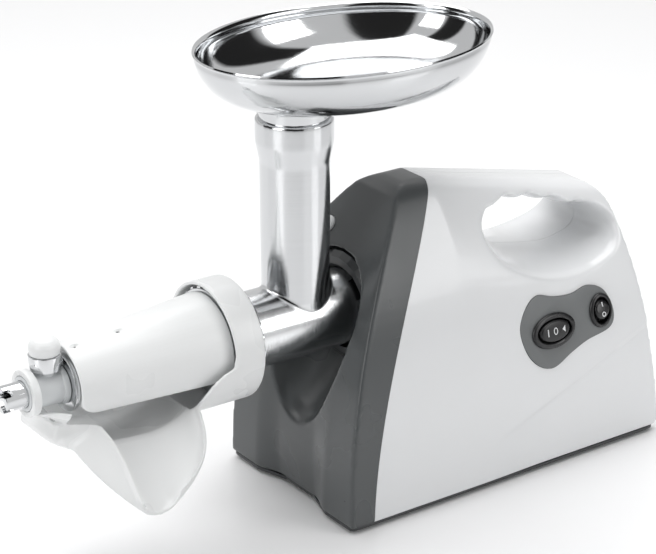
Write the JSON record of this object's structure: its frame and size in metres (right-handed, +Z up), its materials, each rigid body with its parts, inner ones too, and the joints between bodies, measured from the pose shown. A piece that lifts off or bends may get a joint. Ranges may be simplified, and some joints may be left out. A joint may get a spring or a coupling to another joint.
{
  "type": "electric meat grinder",
  "caption": "Kitchen meat grinder: white plastic housing with handle, aluminium head with oval tray, and a juicing attachment clamped to its barrel.",
  "frame": {"origin": "centre of the bounding box at the plane the feet stand on", "axes": "+X along the barrel towards the rear of the housing, -Y the side with the switches, +Z up"},
  "size_m": [0.53, 0.1668, 0.3428],
  "materials": {
    "shell_white": "gloss white moulded plastic with a faint orange-peel texture",
    "cover_grey": "satin mid-grey moulded plastic",
    "dark_grey": "satin dark-grey moulded plastic",
    "black_plastic": "semi-gloss black plastic",
    "rubber": "soft matt rubber",
    "cast_aluminium": "polished cast aluminium with fine turning marks",
    "stainless": "polished stainless steel",
    "steel": "machined steel",
    "white_plastic": "white food-grade plastic",
    "gear_metal": "sintered steel, lightly oiled",
    "gear_nylon": "natural nylon",
    "zinc_casting": "as-cast zinc alloy",
    "copper": "varnished copper wire and copper bars",
    "brass": "plain brass",
    "laminations": "stacked electrical steel"
  },
  "bodies": {
    "housing": {"shell_control_side": "shell_white", "shell_plain_side": "shell_white", "front_cover": "cover_grey", "control_panel": "cover_grey", "base_plate": "dark_grey", "bayonet_socket": "dark_grey", "mode_switch": "black_plastic", "power_switch": "black_plastic", "foot_front_control": "rubber", "foot_front_plain": "rubber", "foot_rear_control": "rubber", "foot_rear_plain": "rubber", "cord_inlet": "rubber", "base_screw_front_control": "steel", "base_screw_front_plain": "steel", "base_screw_rear_control": "steel", "base_screw_rear_plain": "steel", "release_spring": "steel", "second_gear_pin": "steel", "first_gear_pin": "steel", "gearbox_screw_1": "steel", "gearbox_screw_2": "steel", "gearbox_screw_3": "steel", "motor_bearing_front": "steel", "motor_bearing_rear": "steel", "gearbox_case": "zinc_casting", "gearbox_lid": "zinc_casting", "motor_bracket_front": "zinc_casting", "motor_bracket_rear": "zinc_casting", "field_coil_upper": "copper", "field_coil_lower": "copper", "output_bush": "brass", "brush_holder_control": "brass", "brush_holder_plain": "brass", "stator_core": "laminations"},
    "drive": {"feed_screw": "cast_aluminium", "press_screw": "white_plastic", "screw_washer": "white_plastic", "output_shaft": "steel", "output_gear": "gear_metal"},
    "second_gear": {"second_gear": "gear_metal"},
    "first_gear": {"first_gear": "gear_nylon"},
    "armature": {"armature_shaft": "steel", "armature_core": "copper", "motor_pinion": "steel", "commutator": "copper", "cooling_fan": "black_plastic"},
    "mode_rocker": {"mode_rocker": "black_plastic"},
    "power_rocker": {"power_rocker": "black_plastic"},
    "release_button": {"release_button": "white_plastic"},
    "head": {"head_casting": "cast_aluminium", "strainer": "stainless", "juicer_hood": "white_plastic", "juice_trough": "white_plastic", "snout": "white_plastic"},
    "tray": {"tray": "stainless"},
    "ring_nut": {"ring_nut": "cast_aluminium"},
    "regulator": {"regulator": "stainless"},
    "clamp_knob": {"clamp_knob_skirt": "stainless", "clamp_knob_cap": "white_plastic"}
  },
  "joints": [
    {"name": "drive_spin", "type": "hinge", "parent": "housing", "child": "drive", "pos_m": [0, 0, 0.142], "axis": [1, 0, 0], "continuous": true},
    {"name": "second_gear_spin", "type": "hinge", "parent": "housing", "child": "second_gear", "pos_m": [0.055, 0.019, 0.10909], "axis": [1, 0, 0], "continuous": true},
    {"name": "first_gear_spin", "type": "hinge", "parent": "housing", "child": "first_gear", "pos_m": [0.07, -0.00627, 0.09157], "axis": [1, 0, 0], "continuous": true},
    {"name": "armature_spin", "type": "hinge", "parent": "housing", "child": "armature", "pos_m": [0.13, 0, 0.0684], "axis": [1, 0, 0], "continuous": true},
    {"name": "mode_tilt", "type": "hinge", "parent": "housing", "child": "mode_rocker", "pos_m": [0.15798, -0.06509, 0.10784], "axis": [-0.006, 0.2241, 0.9745], "range_deg": [-8, 8]},
    {"name": "power_tilt", "type": "hinge", "parent": "housing", "child": "power_rocker", "pos_m": [0.20634, -0.06293, 0.11164], "axis": [0.9996, 0.0265, 0], "range_deg": [0, 16]},
    {"name": "release_press", "type": "slide", "parent": "housing", "child": "release_button", "axis": [0.8267, 0, -0.5626], "range_m": [0, 0.003], "stiffness_N_per_m": 300, "springref_m": -0.002, "deforming": ["release_spring"]},
    {"name": "head_turn", "type": "hinge", "parent": "housing", "child": "head", "pos_m": [-0.03, 0, 0.142], "axis": [1, 0, 0], "range_deg": [0, 45]},
    {"name": "tray_lift", "type": "slide", "parent": "head", "child": "tray", "axis": [0, 0, 1], "range_m": [0, 0.03]},
    {"name": "ring_nut_turn", "type": "hinge", "parent": "head", "child": "ring_nut", "pos_m": [-0.095, 0, 0.142], "axis": [1, 0, 0], "range_deg": [0, 360]},
    {"name": "regulator_turn", "type": "hinge", "parent": "head", "child": "regulator", "pos_m": [-0.245, 0, 0.142], "axis": [1, 0, 0], "range_deg": [0, 180]},
    {"name": "clamp_knob_turn", "type": "hinge", "parent": "head", "child": "clamp_knob", "pos_m": [-0.23045, 0, 0.16], "axis": [0, 0, 1], "range_deg": [0, 360]}
  ],
  "couplings": [
    {"joint": "second_gear_spin", "follows": "drive_spin", "ratio": -2.8},
    {"joint": "first_gear_spin", "follows": "drive_spin", "ratio": 9.9556},
    {"joint": "armature_spin", "follows": "drive_spin", "ratio": -49.778}
  ]
}
